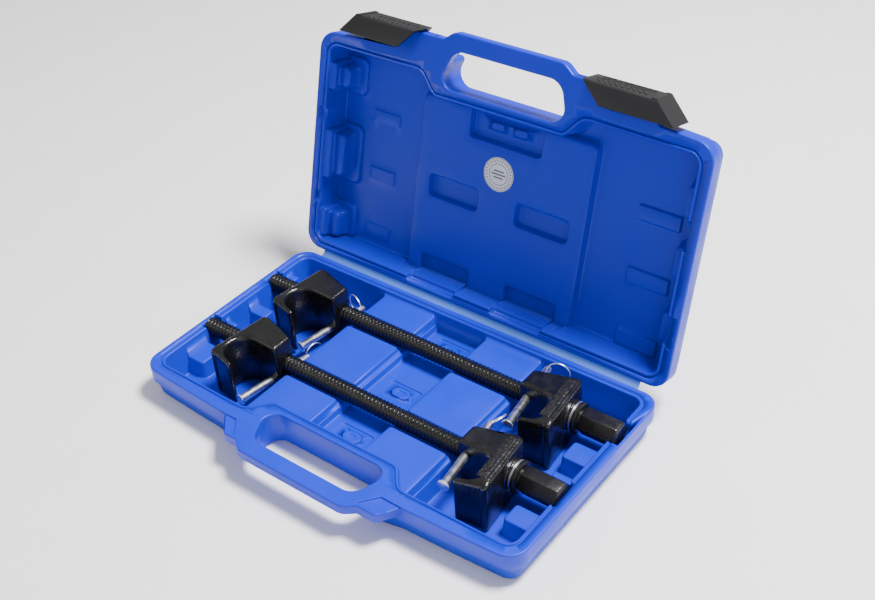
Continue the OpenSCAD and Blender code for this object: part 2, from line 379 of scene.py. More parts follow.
TRAY = Shape(  # the hollow's edge
    [
        [TRAY_END, 93, 8],
        [-TRAY_END, 93, 8],
        [-TRAY_END, -97, 9],
        [-84, -98, 12],
        [-68, -79, 12],
        [68, -79, 12],
        [84, -98, 12],
        [TRAY_END, -97, 9],
    ],
    8,
)


# ---- height fields -----------------------------------------------------------


def steps(height, r, draft):
    """Distances and heights of a moulded wall: fillet, drafted wall, fillet."""
    r = min(r, height * 0.48)
    run = (height - 2 * r) * draft
    xs = [0, 0.5 * r, 0.87 * r, r, r + run, 1.13 * r + run, 1.5 * r + run, 2 * r + run]
    zs = [0, 0.134 * r, 0.5 * r, r, height - r, height - 0.5 * r, height - 0.134 * r, height]
    return np.array(xs), np.array(zs)


class Wall:
    """A wall that rises by height across the outline of a shape, half its run on each side."""

    def __init__(self, shape, height, r=1.6, draft=0.1):
        self.shape = shape
        self.xs, self.zs = steps(height, r, draft)
        self.shift = self.xs[-1] / 2

    def rise(self, P):
        return np.interp(self.shape.sd(P) + self.shift, self.xs, self.zs)

    def rings(self):
        return [self.shape.ring(x - self.shift) for x in self.xs]


class Trough:
    """A half-round notch along X that takes a spindle's end, open at the top."""

    LEAN = 0.9  # the end walls lean out by this
    STEEP = 12  # and rise this much per millimetre
    SIDE = 9  # rise of the sides above the half round

    def __init__(self, x0, x1, y, z, r):
        self.x0, self.x1, self.y, self.z, self.r = x0, x1, y, z, r

    def floor(self, P):
        dy = np.abs(P[:, 1] - self.y)
        inside = np.minimum(P[:, 0] - self.x0, self.x1 - P[:, 0])
        f = self.z - np.sqrt((self.r**2 - dy**2).clip(0))
        f = np.where(dy < self.r, f, self.z + (dy - self.r) * self.SIDE)
        end = self.z - self.r + (self.LEAN - inside) * self.STEEP * (inside < self.LEAN)
        return np.maximum(f, end)

    def box(self, d, short=0.0):
        x0, x1, y0, y1 = self.x0 + short, self.x1 - short, self.y - d, self.y + d
        return np.array([[x0, y0], [x1, y0], [x1, y1], [x0, y1]])

    def rings(self):
        across = [self.box(self.r * k) for k in (1.06, 1.0, 0.97, 0.88, 0.7, 0.45, 0.2)]
        return [*across, self.box(self.r, self.LEAN)]


# the rim's groove: distance out from the tray's edge, and depth
GROOVE_AT = [3.3, 3.7, 4.8, 5.2]
GROOVE_DEPTH = [0, 1.5, 1.5, 0]


def edge_drop(shape, P, r=EDGE, sign=1):
    """How far an edge rounded to radius r lies below the rim; sign is -1 for a hole's edge."""
    d = (shape.sd(P) * sign).clip(0, r)
    return r - np.sqrt((r * r - (r - d) ** 2).clip(0))


class Half:
    """The inside of one half of the case, as depth below the rim; the lid's is turned over."""

    def __init__(self, depth):
        self.cavity = Wall(TRAY, depth, 1.8, 0.07)
        self.raised = []
        self.sunk = []
        self.troughs = []
        self.depth = depth

    def raise_to(self, shape, level, r=1.6, draft=0.12):
        """A block standing on the cavity's floor; level is its top's depth below the rim."""
        self.raised.append(Wall(shape, self.depth - level, r, draft))

    def sink(self, shape, by, r=1.2, draft=0.15):
        """A recess in whatever is there; a raised pad when by is negative."""
        self.sunk.append(Wall(shape, by, r, draft))

    def drop(self, P):
        """Depth below the rim at each point."""
        d = self.cavity.rise(P)
        for w in self.raised:
            d = np.minimum(d, self.depth - w.rise(P))
        for w in self.sunk:
            d = d + w.rise(P)
        for t in self.troughs:
            d = np.maximum(d, RIM_Z - t.floor(P))
        on_rim = d < 0.5
        d = d + np.interp(-TRAY.sd(P), GROOVE_AT, GROOVE_DEPTH) * on_rim
        return d + edge_drop(RIM, P) + edge_drop(HOLE, P, sign=-1)

    def rings(self):
        """Outlines that the mesh follows, so that it bends where the depth does."""
        out = [RIM.ring(0), HOLE.ring(0)]
        out += [RIM.ring(d) for d in (0.2, 0.75, EDGE)]
        out += [HOLE.ring(-d) for d in (0.2, 0.75, EDGE)]
        out += [TRAY.ring(-d) for d in GROOVE_AT]
        for w in [self.cavity, *self.raised, *self.sunk, *self.troughs]:
            out += w.rings()
        out += [RIM.ring(9.0), TRAY.ring(14.0)]
        return out


# ---- meshes ------------------------------------------------------------------


def triangulate(rings, extra=()):
    """Points and triangles that keep closed rings as edges and take in loose extra points."""
    verts, edges = [], []
    for r in rings:
        n = len(verts)
        verts += [Vector((float(x), float(y))) for x, y in r]
        edges += [(n + i, n + (i + 1) % len(r)) for i in range(len(r))]
    verts += [Vector((float(x), float(y))) for x, y in extra]
    v, _, f, *_ = delaunay_2d_cdt(verts, edges, [], 0, 1e-4)
    return np.array([(p.x, p.y) for p in v]), f


def grid(x0, x1, y0, y1, spacing):
    """Points of a square grid over a rectangle."""
    return np.array([(x, y) for x in np.arange(x0, x1, spacing) for y in np.arange(y0, y1, spacing)])


def middles(P, tris):
    return np.array([P[list(t)].mean(0) for t in tris])


def fill(ring, spacing=0.0, holes=()):
    """Triangles inside a closed outline, with a grid of extra points if spacing is given."""
    area_of = Shape.through(ring)
    holes_of = [Shape.through(h) for h in holes]
    extra = ()
    if spacing:
        (x0, y0), (x1, y1) = ring.min(0), ring.max(0)
        extra = grid(x0, x1, y0, y1, spacing)
        ok = area_of.sd(extra) > spacing * 0.3
        for h in holes_of:
            ok &= h.sd(extra) < -spacing * 0.3
        extra = extra[ok]
    P, f = triangulate([ring, *holes], extra)
    mid = middles(P, f)
    ok = area_of.sd(mid) > 0
    for h in holes_of:
        ok &= h.sd(mid) < 0
    return P, [t for t, k in zip(f, ok) if k]


def at_height(P, z):
    """Flat points lifted to z."""
    return np.column_stack([P, np.full(len(P), z)])


def turned_over(faces):
    return [f[::-1] for f in faces]


class Builder:
    """Collects vertices (mm), faces, face materials and vertex normals for one mesh."""

    def __init__(self):
        self.v, self.f, self.m, self.n = [], [], [], []
        self.count = 0

    def add(self, verts, faces, mat=0, normals=None):
        verts = np.asarray(verts, float)
        self.v.append(verts)
        self.n.append(np.zeros_like(verts) if normals is None else normals)
        for k, f in enumerate(faces):
            self.f.append(tuple(int(i) + self.count for i in f))
            self.m.append(mat if np.isscalar(mat) else int(mat[k]))
        self.count += len(verts)

    def mesh(self, name, mats, smooth=40.0):
        """An object in the scene, smooth but for edges sharper than smooth degrees."""
        v = np.concatenate(self.v)
        n = np.concatenate(self.n)
        me = bpy.data.meshes.new(name)
        me.from_pydata((v * MM).tolist(), [], self.f)
        for m in mats:
            me.materials.append(m)
        me.polygons.foreach_set("material_index", self.m)
        me.polygons.foreach_set("use_smooth", [True] * len(self.f))
        me.update()
        me.set_sharp_from_angle(angle=math.radians(smooth))
        ob = bpy.data.objects.new(name, me)
        bpy.context.scene.collection.objects.link(ob)
        if (np.abs(n).sum(1) > 0).any():  # keep Blender's normals where none were given
            auto = np.array([c.vector[:] for c in me.corner_normals])
            vi = np.empty(len(me.loops), int)
            me.loops.foreach_get("vertex_index", vi)
            want = n[vi]
            has = np.abs(want).sum(1) > 0
            auto[has] = want[has]
            me.normals_split_custom_set(auto.tolist())
        return ob


def put(ob, body, nodes=()):
    """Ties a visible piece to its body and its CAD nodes."""
    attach(ob, body)
    if nodes:
        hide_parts(*nodes)
    return ob


def strip(n_rings, n):
    """Quads between consecutive closed rings of n points each."""
    out = []
    for r in range(n_rings - 1):
        for i in range(n):
            j = (i + 1) % n
            out.append((r * n + i, r * n + j, (r + 1) * n + j, (r + 1) * n + i))
    return out


WELD = 2e-6  # metres


def fix_normals(ob):
    """Joins doubled vertices and points every face outwards."""
    bm = bmesh.new()
    bm.from_mesh(ob.data)
    bmesh.ops.remove_doubles(bm, verts=bm.verts, dist=WELD)
    bmesh.ops.recalc_face_normals(bm, faces=bm.faces)
    bm.to_mesh(ob.data)
    bm.free()


def piece(b, name, mats, smooth, body, nodes=(), on_lid=False):
    """Finishes a builder's closed mesh as a visible piece; on_lid turns it open with the lid."""
    ob = b.mesh(name, mats, smooth)
    fix_normals(ob)
    if on_lid:
        ob.matrix_world = TO_OPEN
    return put(ob, body, nodes)


# six faces of a block given as the four points of one side, then the four behind them
BLOCK_FACES = [(0, 1, 2, 3), (4, 5, 6, 7), (0, 1, 5, 4), (1, 2, 6, 5), (2, 3, 7, 6), (3, 0, 4, 7)]


# ---- case --------------------------------------------------------------------


RIM_GAP = 0.1  # the shut halves' rims stay this far either side of the parting plane
GRID = 9.0  # spacing of the loose points inside a case half
HANDLE_FRONT_OF = -108  # only the handle lies in front of this


def wall_profile(total):
    """(distance in, depth) down the outer wall: smooth band, step, then the grained band."""
    smooth = [(0, EDGE), (0.05, 9), (0.15, 14.6)]
    step = [(0.5, 15.4), (1.3, 16.0), (2.2, 16.3), (2.9, 16.9), (3.2, 17.8), (4.4, 24)]
    foot = [(5.3, total - 3.6), (5.9, total - 1.9), (7.0, total - 0.6), (8.6, total)]
    return smooth + step + foot


GRAINED_FROM = 6  # the grained band starts at this row of the profile
SLAB_PROFILE = [(0, EDGE), (0, SLAB - 2.2), (0.3, SLAB - 1.1), (1.0, SLAB - 0.3), (2.0, SLAB)]


def case_inside(b, half, sign):
    """The rim, the hollow and everything in it."""
    P, tris = triangulate(half.rings(), grid(-HALF_L + 3, HALF_L, HANDLE_Y + 3, BACK_Y, GRID))
    mid = middles(P, tris)
    keep = (RIM.sd(mid) > 0) & (HOLE.sd(mid) < 0)
    tris = [t for t, k in zip(tris, keep) if k]
    used = np.unique(np.array(tris))
    remap = -np.ones(len(P), int)
    remap[used] = np.arange(len(used))
    P = P[used]
    tris = [[remap[i] for i in t] for t in tris]
    # normals from the slope of the depth, except on the outer edge
    e = 0.22  # half the distance the slope is taken over
    gx = (half.drop(P + [e, 0]) - half.drop(P - [e, 0])) / (2 * e)
    gy = (half.drop(P + [0, e]) - half.drop(P - [0, e])) / (2 * e)
    nrm = np.stack([gx, gy, np.ones(len(P))], 1)
    nrm[np.minimum(RIM.sd(P), -HOLE.sd(P)) < 0.05] = 0
    nrm /= np.linalg.norm(nrm, axis=1)[:, None] + 1e-9
    if sign > 0:
        nrm[:, 2] *= -1
    z = RIM_Z + sign * np.maximum(half.drop(P), RIM_GAP)
    b.add(np.column_stack([P, z]), tris if sign < 0 else turned_over(tris), 0, nrm)


def case_outside(b, sign, total):
    """The outer walls and the flat behind them; the recess behind the hand hole stays plain and steep."""
    x, y = BODY.p.T
    unit = BODY.ring(1.0) - BODY.p
    # 0 in the recess, growing to 1 over 25 mm to either side
    mix = np.where(y < -80, ((np.abs(x) - 68) / 25).clip(0, 1), 1)
    rings = []
    for off, dep in wall_profile(total):
        plain = min(0.05 * dep + (max(0, dep - total + 2) ** 2) * 0.9, 5.0)
        r = BODY.p + unit * (plain + (off - plain) * mix)[:, None]
        rings.append(at_height(r, RIM_Z + sign * dep))
    n = len(BODY.p)
    quads = strip(len(rings), n)
    recess = (y > -112.5) & (np.abs(x) < 70) & (y < 0)
    mat = [1 if k // n >= GRAINED_FROM and not recess[k % n] else 0 for k in range(len(quads))]
    b.add(np.concatenate(rings), turned_over(quads) if sign < 0 else quads, mat)
    P, tris = fill(rings[-1][:, :2], 12.0)
    b.add(at_height(P, RIM_Z + sign * total), tris if sign > 0 else turned_over(tris), 1)


def case_handle(b, sign):
    """The handle's outer wall, the wall of the hand hole, and the flat between them."""
    for shape, way in ((RIM, 1), (HOLE, -1)):
        p = shape.p
        m = (p + np.roll(p, -1, 0)) / 2
        ahead = m[:, 1] < front_line(m[:, 0]) + (-0.15 if way > 0 else 15)
        rings = [at_height(shape.ring(o * way), RIM_Z + sign * dep) for o, dep in SLAB_PROFILE]
        quads = [q for k, q in enumerate(strip(len(rings), len(p))) if ahead[k % len(p)]]
        b.add(np.concatenate(rings), turned_over(quads) if (sign < 0) == (way > 0) else quads, 0)
    # a block cut out of the flat keeps it to the handle
    block = np.array([[-100, HANDLE_FRONT_OF], [100, HANDLE_FRONT_OF], [100, 90], [-100, 90]])
    P, tris = fill(RIM.ring(2.0), 0, [HOLE.ring(-2.0), block])
    tris = [t for t, k in zip(tris, middles(P, tris)[:, 1] < HANDLE_FRONT_OF) if k]
    b.add(at_height(P, RIM_Z + sign * SLAB), tris if sign > 0 else turned_over(tris), 0)


def case_half(name, half, sign, total, mats):
    """sign is -1 for the base, whose depth runs down, and 1 for the lid."""
    b = Builder()
    case_inside(b, half, sign)
    case_outside(b, sign, total)
    case_handle(b, sign)
    return b.mesh(name, mats)


# each compressor's spindle: its ends along X and its axis
TOOLS = {}
for key in ("front", "rear"):
    lo, hi = mm_box(key + "_spindle")
    TOOLS[key] = {"x0": lo[0], "x1": hi[0], "y": (lo[1] + hi[1]) / 2, "z": (lo[2] + hi[2]) / 2}

FLOOR = 2.5  # thickness under the tray
SPINDLE_BAY = 9.2  # half width of the channel a spindle lies in
base = Half(RIM_Z - FLOOR)
f_y, r_y = TOOLS["front"]["y"], TOOLS["rear"]["y"]
between = ((-110, f_y - SPINDLE_BAY), (f_y + SPINDLE_BAY, r_y - SPINDLE_BAY), (r_y + SPINDLE_BAY, 110))
for s in (-1, 1):
    # the two broad blocks under the spindles, higher between them
    base.raise_to(rect(s * 25.5, s * 91.5, -104, 104, 5), 13.5, 1.4, 0.12)
    for y0, y1 in between:
        base.raise_to(rect(s * 27, s * 90, y0, y1, 5), 6.0, 1.8, 0.16)
base.raise_to(rect(-30, 30, -108, 108, 1), 21.0, 1.2)
# ledges at the two ends; 210 is past the wall
base.raise_to(rect(-210, -167, -70, -43, 4), 14.0)
base.raise_to(rect(-210, -167, 10, 25, 4), 14.0)
base.raise_to(rect(-210, -176, -20, -12, 3), 9.0)
base.raise_to(rect(-210, -178, 62, 74, 3), 9.0)
base.raise_to(rect(159, 210, -70, -49, 4), 14.0)
base.raise_to(rect(165, 210, -13, -4, 3), 12.0)
base.raise_to(rect(159, 210, 12, 35, 4), 14.0)
# three pads on the middle bay's floor
for y in (-60, 6, 76):
    base.sink(rect(-17, 17, y - 10, y + 10, 3), 1.2, 0.5, 0.6)
    base.sink(rect(-8, 8, y - 4.5, y + 4.5, 4.4), -1.6, 0.6, 0.6)
    base.sink(rect(-4, 4, y - 2, y + 2, 1.9), 0.7, 0.3, 0.5)
# slanted recesses in the platforms under the latches
for s in (-1, 1):
    slant = [[s * 66, -129.5, 0.8], [s * 86, -129.5, 0.8], [s * 98, -114, 0.8], [s * 78, -114, 0.8]]
    base.sink(Shape(slant), 1.5, 0.5, 0.2)


def troughs(t, z):
    """Notches for the thin and the thick end of a spindle whose axis is at height z."""
    return [
        Trough(t["x0"] - 1.5, t["x0"] + 22, t["y"], z, 8.8),
        Trough(t["x1"] - 40, t["x1"] + 1.5, t["y"], z, 14.6),
    ]


for t in TOOLS.values():
    base.troughs += troughs(t, t["z"])
ob = case_half("base_shell", base, -1, CASE_DEPTH, [M_BASE, M_BASE_GRAIN])
put(ob, "case", ["case_base"])

LID_INSIDE = 28.0
PANEL_DEPTH = 20.5
lid = Half(LID_INSIDE)
lid.raise_to(rect(-91, 91, -75, 97, 7), PANEL_DEPTH, 3.0, 0.35)
pockets = [rect(s * 20.5, s * 74.5, y0, y1, 4) for s in (-1, 1) for y0, y1 in ((-1.5, 18.5), (77.5, 99))]
pockets.append(rect(-37.5, 37.5, -76, -48.5, 4))
for p in pockets:
    lid.sink(p, LID_INSIDE - PANEL_DEPTH - 0.6, 1.6, 0.25)
for x in (-12, 12):
    lid.sink(rect(x - 6, x + 6, -64.5, -59.5, 2.4), -1.2, 0.4, 0.5)
# stepped blocks at the left end; the last one runs into the back wall
for y0, y1 in ((-82, -55), (-17, 32), (62, 92)):
    free = y1 < 90
    lid.raise_to(rect(-210, -180, y0, y1, 3), 3.0, 2.0, 0.06)
    lid.raise_to(rect(-200, -169, y0 + 3, y1 - 3 * free, 6), 10.0, 3.0, 0.12)
    lid.raise_to(rect(-200, -160, y0 - 4, y1 + 4 * free, 7), 24.0, 2.0, 0.3)
# low pads beside the panel
for y0, y1 in ((-36, -23), (20, 34), (77, 92)):
    lid.raise_to(rect(134, 173, y0, y1, 1.5), 25.6, 1.0, 0.3)
    lid.raise_to(rect(-150, -120, y0 - 6, y1 - 8, 1.5), 27.2, 0.4, 0.3)
for y0, y1 in ((-70, -40), (-18, 12), (40, 70)):
    lid.raise_to(rect(176, 210, y0, y1, 6), 14.0, 2.0, 0.25)
for t in TOOLS.values():
    lid.troughs += troughs(t, 2 * RIM_Z - t["z"])
ob = case_half("lid_shell", lid, 1, LID_DEPTH, [M_LID_SHADED, M_LID_GRAIN_SHADED])
ob.matrix_world = TO_OPEN
put(ob, "lid", ["case_lid"])


def lid_rails():
    """The ledges beyond the lid's front that the latches slide on."""
    b = Builder()
    # (distance in from the outline, depth below the rim)
    edge = [(1.2, 0.15), (0.35, 0.45), (0, 1.3), (0, 8.6), (0.35, 9.5), (1.2, 9.9)]
    for s in (-1, 1):
        front = [[s * 134, PLATFORM_Y, 2], [s * 68, PLATFORM_Y, 1]]
        shape = Shape([[s * 152, -110, 1], *front, [s * 68, -110, 1]])
        rings = [at_height(shape.ring(o), RIM_Z + d) for o, d in edge]
        b.add(np.concatenate(rings), strip(len(rings), len(shape.p)), 0)
        for r in (rings[0], rings[-1]):
            cap, tris = fill(r[:, :2])
            b.add(at_height(cap, r[0, 2]), tris, 0)
    piece(b, "lid_rails", [M_LID_SHADED], 35, "lid", (), on_lid=True)


def hinge_strip():
    """The thin web that joins the two rims; it bends between the halves."""
    b = Builder()
    web_lo, web_hi = mm_box("hinge_web_base")
    a = -math.radians(LID_OPEN)
    c, s = math.cos(a), math.sin(a)

    def turned(y, z):
        """A point of the shut lid, with the lid open."""
        dy, dz = y - HINGE_Y, z - HINGE_Z
        return np.array((HINGE_Y + dy * c - dz * s, HINGE_Z + dy * s + dz * c))

    ctl = [
        np.array((web_lo[1] - 1.2, RIM_Z - 0.7)),
        np.array((HINGE_Y - 0.6, RIM_Z - 0.8)),
        turned(HINGE_Y - 0.6, RIM_Z + 0.8),
        turned(web_lo[1] - 1.2, RIM_Z + 0.7),
    ]
    line = []  # a Bezier curve, from the base's rim to the lid's
    for t in np.linspace(0, 1, 13):
        k = [(1 - t) ** 3, 3 * t * (1 - t) ** 2, 3 * t * t * (1 - t), t**3]
        line.append(sum(point * w for point, w in zip(ctl, k)))
    line = np.array(line)
    tan = np.gradient(line, axis=0)
    tan /= np.linalg.norm(tan, axis=1)[:, None]
    half_thick = 0.4
    nor = np.stack([-tan[:, 1], tan[:, 0]], 1) * half_thick
    sec = np.concatenate([line + nor, (line - nor)[::-1]])
    xs = np.linspace(web_lo[0], web_hi[0], 9)
    rings = [np.column_stack([np.full(len(sec), x), sec]) for x in xs]
    n = len(sec)
    b.add(np.concatenate(rings), strip(len(rings), n), 0)
    b.add(rings[0], [tuple(range(n))], 0)
    b.add(rings[-1], [tuple(range(n))[::-1]], 0)
    ob = b.mesh("hinge_strip", [M_WEB])
    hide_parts("hinge_web_base", "hinge_web_lid")
    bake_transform(ob)


hinge_strip()


# ---- latches and label -------------------------------------------------------


def latch(side):
    """A channel open towards the rail, slanted at both ends, with a shut far end and ribs on its web."""
    node = "latch_left" if side < 0 else "latch_right"
    body = "latch_l" if side < 0 else "latch_r"
    inner_y, web_y = -117.0, PLATFORM_Y - 3.4
    near, far = 83.0, 168.0  # ends of the web's near edge, from the case's middle
    half_z, thick, gap_z = 13.4, 3.0, 10.7
    slant = inner_y - web_y
    sec = rounded(
        [
            [web_y, -half_z, 2.2],
            [inner_y, -half_z, 0.8],
            [inner_y, -gap_z, 0.8],
            [web_y + thick, -gap_z, 0.8],
            [web_y + thick, gap_z, 0.8],
            [inner_y, gap_z, 0.8],
            [inner_y, half_z, 0.8],
            [web_y, half_z, 2.2],
        ],
        22,
    )

    def section(x, yz):
        """The section yz, where x is measured at the web."""
        return np.column_stack([side * (x + yz[:, 0] - web_y), yz[:, 0], yz[:, 1] + RIM_Z])

    # (distance in from the end, how far the section shrinks)
    chamfer = [(0, 0.5), (0.25, 0.12), (0.8, 0)]
    rings = [section(near + ins, inset(sec, shrink)) for ins, shrink in chamfer]
    rings += [section(far - slant - ins, inset(sec, shrink)) for ins, shrink in chamfer[::-1]]
    b = Builder()
    b.add(np.concatenate(rings), strip(len(rings), len(sec)), 0)
    cap, tris = fill(inset(sec, chamfer[0][1]))
    for x in (near, far - slant):
        b.add(section(x, cap), tris, 0)
    piece(b, node + "_body", [M_LATCH], 35, body, [node], on_lid=True)

    b = Builder()
    wall = 4.2
    end = [
        [inner_y + 0.3, far],
        [web_y + 0.3, far - slant],
        [web_y + 0.3, far - slant - wall],
        [inner_y + 0.3, far - wall],
    ]
    zs = (-half_z + 0.4, half_z - 0.4)
    b.add([(side * (x - 0.25), y - 0.6, RIM_Z + z) for z in zs for y, x in end], BLOCK_FACES, 0)
    piece(b, node + "_end", [M_LATCH], 30, body, (), on_lid=True)

    # chevron ribs on the web, each half a slanted bar with a smaller top
    b = Builder()
    foot_y, top_y = web_y + 0.2, web_y - 0.57
    for k in range(9):
        x = near + 6 + k * 5.2
        for up in (-1, 1):
            bar = [(x, 0.2, 0.3), (x + 2.4, 0.2, -0.3), (x + 8.6, 8.6, -0.3), (x + 6.2, 8.6, 0.3)]
            foot = [(side * px, foot_y, RIM_Z + up * pz) for px, pz, _ in bar]
            top = [(side * (px + dx), top_y, RIM_Z + up * min(max(pz, 0.4), 8.4)) for px, pz, dx in bar]
            b.add([*foot, *top], BLOCK_FACES, 0)
    piece(b, node + "_ribs", [M_LATCH], 20, body, (), on_lid=True)


lid_rails()
latch(-1)
latch(1)


def label():
    """A blank disc with plain rings and bars where print would be."""
    b = Builder()
    lo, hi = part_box("label_disc")
    mid = (TO_OPEN.inverted() @ ((lo + hi) / 2)) / MM
    r_out = (hi.x - lo.x) / MM / 2
    back = RIM_Z + PANEL_DEPTH
    face = back - 0.5  # towards the open side, which is down until the lid is turned
    print_z = face - 0.03
    paper, ink = 0, 1
    n = 64
    ang = np.linspace(0, 2 * np.pi, n, endpoint=False)
    quads = [(i, (i + 1) % n, n + (i + 1) % n, n + i) for i in range(n)]

    def circle(r, z):
        return [(mid.x + r * math.cos(t), mid.y + r * math.sin(t), z) for t in ang]

    # rings of the face by outer radius, then the rim
    radii = [0, 0.60, 0.64, 0.70, 0.93, 0.965, 1.0]
    for r0, r1, mat in zip(radii, radii[1:], [paper, ink, paper, paper, ink, paper]):
        b.add(circle(r0 * r_out, face) + circle(r1 * r_out, face), quads, mat)
    b.add(circle(r_out, face) + circle(r_out, back), quads, paper)
    for k, w in enumerate((5.5, 7.5, 5.0)):
        y = mid.y - 3 + 3 * k
        bar = [(-w, -0.7), (w, -0.7), (w, 0.7), (-w, 0.7)]
        b.add([(mid.x + dx, y + dy, print_z) for dx, dy in bar], [(0, 1, 2, 3)], ink)
    ticks = 28
    for k in range(ticks):
        t = 2 * np.pi * k / ticks
        c, s = math.cos(t), math.sin(t)
        tick = [(11.6, 0.5), (13.4, 0.5), (13.4, -0.5), (11.6, -0.5)]
        b.add([(mid.x + c * r + s * w, mid.y + s * r - c * w, print_z) for r, w in tick], [(0, 1, 2, 3)], ink)
    ob = b.mesh("label", [M_PAPER, M_INK], 30)
    ob.matrix_world = TO_OPEN
    put(ob, "lid", ["label_disc"])


label()


# ---- compressors -------------------------------------------------------------


def lathe(b, profile, origin, n=48, mat=0, along=None):
    """profile is (x, r) along +X from origin; along turns +X to another direction."""
    ang = np.linspace(0, 2 * np.pi, n, endpoint=False)
    rings = [np.column_stack([np.full(n, x), r * np.cos(ang), r * np.sin(ang)]) for x, r in profile]
    v = np.concatenate(rings)
    if along is not None:
        v = v @ along.T
    ends = [tuple(range(n))[::-1], tuple(range((len(rings) - 1) * n, len(rings) * n))]
    b.add(v + np.asarray(origin), turned_over(strip(len(rings), n)) + ends, mat)


PITCH = 4.0
ROOT, CREST = 6.7, 7.95  # the thread's radii
# radius along one turn of the thread, from 0 to 1
THREAD_AT = [0, 0.12, 0.34, 0.50, 0.72, 1.0]
THREAD_R = [ROOT, ROOT, CREST, CREST, ROOT, ROOT]
TIP = 1.8  # length of the chamfer at the thread's free end
THREAD_END, HEX_LEN = 41.0, 34.5  # from the hexagon's end face
ACROSS_FLATS = 21.0


def screw(key):
    """The spindle: thread, collar, neck and hexagon."""
    t = TOOLS[key]
    b = Builder()
    n, per_turn = 40, 10
    x0, x1 = t["x0"], t["x1"] - THREAD_END
    count = int((x1 - x0) / PITCH * per_turn)
    ang = np.linspace(0, 2 * np.pi, n, endpoint=False)
    rings = []
    for i in range(count + 1):
        x = x0 + (x1 - x0) * i / count
        phase = (x / PITCH - ang / (2 * np.pi)) % 1.0
        limit = CREST - 1.6 * (1 - (x - x0) / TIP) if x - x0 < TIP else CREST
        r = np.minimum(np.interp(phase, THREAD_AT, THREAD_R), limit)
        rings.append(np.column_stack([np.full(n, x), t["y"] + r * np.cos(ang), t["z"] + r * np.sin(ang)]))
    b.add(np.concatenate(rings), turned_over(strip(len(rings), n)), 0)
    b.add(rings[0], [tuple(range(n))], 0)

    axis = (0, t["y"], t["z"])
    wash_lo, wash_hi = mm_box(key + "_thrust_washer")
    w0, w1 = wash_lo[0], wash_hi[0]
    c = w1 + 0.1
    collar = [(c, 9), (c, 13.2), (c + 0.5, 13.9), (c + 2.9, 13.9), (c + 3.7, 13.0), (c + 4.0, 12.0)]
    neck = [(c + 4.0, 9.4), (c + 8, 9.2)]
    lathe(b, collar + neck, axis, 64, 1)

    h0, h1 = t["x1"] - HEX_LEN, t["x1"]
    corner = ACROSS_FLATS / 2 / math.cos(math.pi / 6)
    turns = [math.radians(60 * k) for k in range(6)]
    hexa = rounded([[corner * math.cos(a), corner * math.sin(a), 1.1] for a in turns], 20)
    m = len(hexa)
    ends = ((h0, 0.88), (h0 + 0.7, 0.965), (h0 + 1.6, 1.0), (h1 - 2.2, 1.0), (h1 - 0.8, 0.96), (h1, 0.89))
    rings = []
    for x, k in ends:
        rings.append(np.column_stack([np.full(m, x), t["y"] + hexa[:, 0] * k, t["z"] + hexa[:, 1] * k]))
    b.add(np.concatenate(rings), turned_over(strip(len(rings), m)), 1)
    b.add(rings[0], [tuple(range(m))], 1)
    b.add(rings[-1], [tuple(range(m))[::-1]], 1)
    piece(b, key + "_screw", [M_SCREW, M_HEX], 32, key + "_screw", [key + "_spindle"])

    b = Builder()
    lathe(b, [(w0, 8.2), (w0, 13.0), (w0 + 0.4, 13.5), (w1 - 0.5, 13.5), (w1, 13.0), (w1, 8.2)], axis, 64)
    piece(b, key + "_washer", [M_ZINC], 32, key + "_tool", [key + "_thrust_washer"])
    # the retaining ring is shown as the CAD has it
    ring_materials = frame["nodes"][key + "_retaining_ring"].data.materials
    ring_materials.clear()
    ring_materials.append(M_SCREW)


# A jaw's outline is in its own plane: u in from its outer face, and Y from the spindle's line.
HOOK_C = np.array([25.0, -29.0])
HOOK_R = 15.5
JAW_BACK = [[0, -49.5, 3.5], [7, 18, 5], [13, 18, 4], [49, 7, 4], [49, -13.5, 2.4]]
JAW_LIP = [[20, -43.8, 0], [27.5, -45.4, 1.4], [28.5, -49.4, 1.6], [10, -49.5, 0]]


def jaw_outline():
    pts = list(rounded(JAW_BACK, 9))
    for a in np.arange(88, 246, 6.0):
        pts.append(HOOK_C + HOOK_R * np.array([math.cos(math.radians(a)), math.sin(math.radians(a))]))
    pts += list(rounded(JAW_LIP, 20)[1:-1])
    p = anticlockwise(np.array(pts))
    # even spacing, so that the bevels stay even
    out = []
    for a, b in zip(p, np.roll(p, -1, 0)):
        k = max(1, int(np.linalg.norm(b - a) / 3.0))
        out += [a + (b - a) * i / k for i in range(k)]
    return np.array(out)


JAW = jaw_outline()


def lift(y):
    """How far a jaw's faces fall away towards the hook's tip."""
    return np.clip((-36.0 - y) / 13.5, 0, 1) ** 1.4 * 3.6


def jaw_frame(key, fixed):
    """The x of a jaw's outer edge, the way u runs along X, and half the jaw's thickness."""
    lo, hi = mm_box(f"{key}_{'fixed' if fixed else 'moving'}_jaw")
    return (hi[0] + 1.0 if fixed else lo[0] - 1.0), (-1 if fixed else 1), (hi[2] - lo[2]) / 2


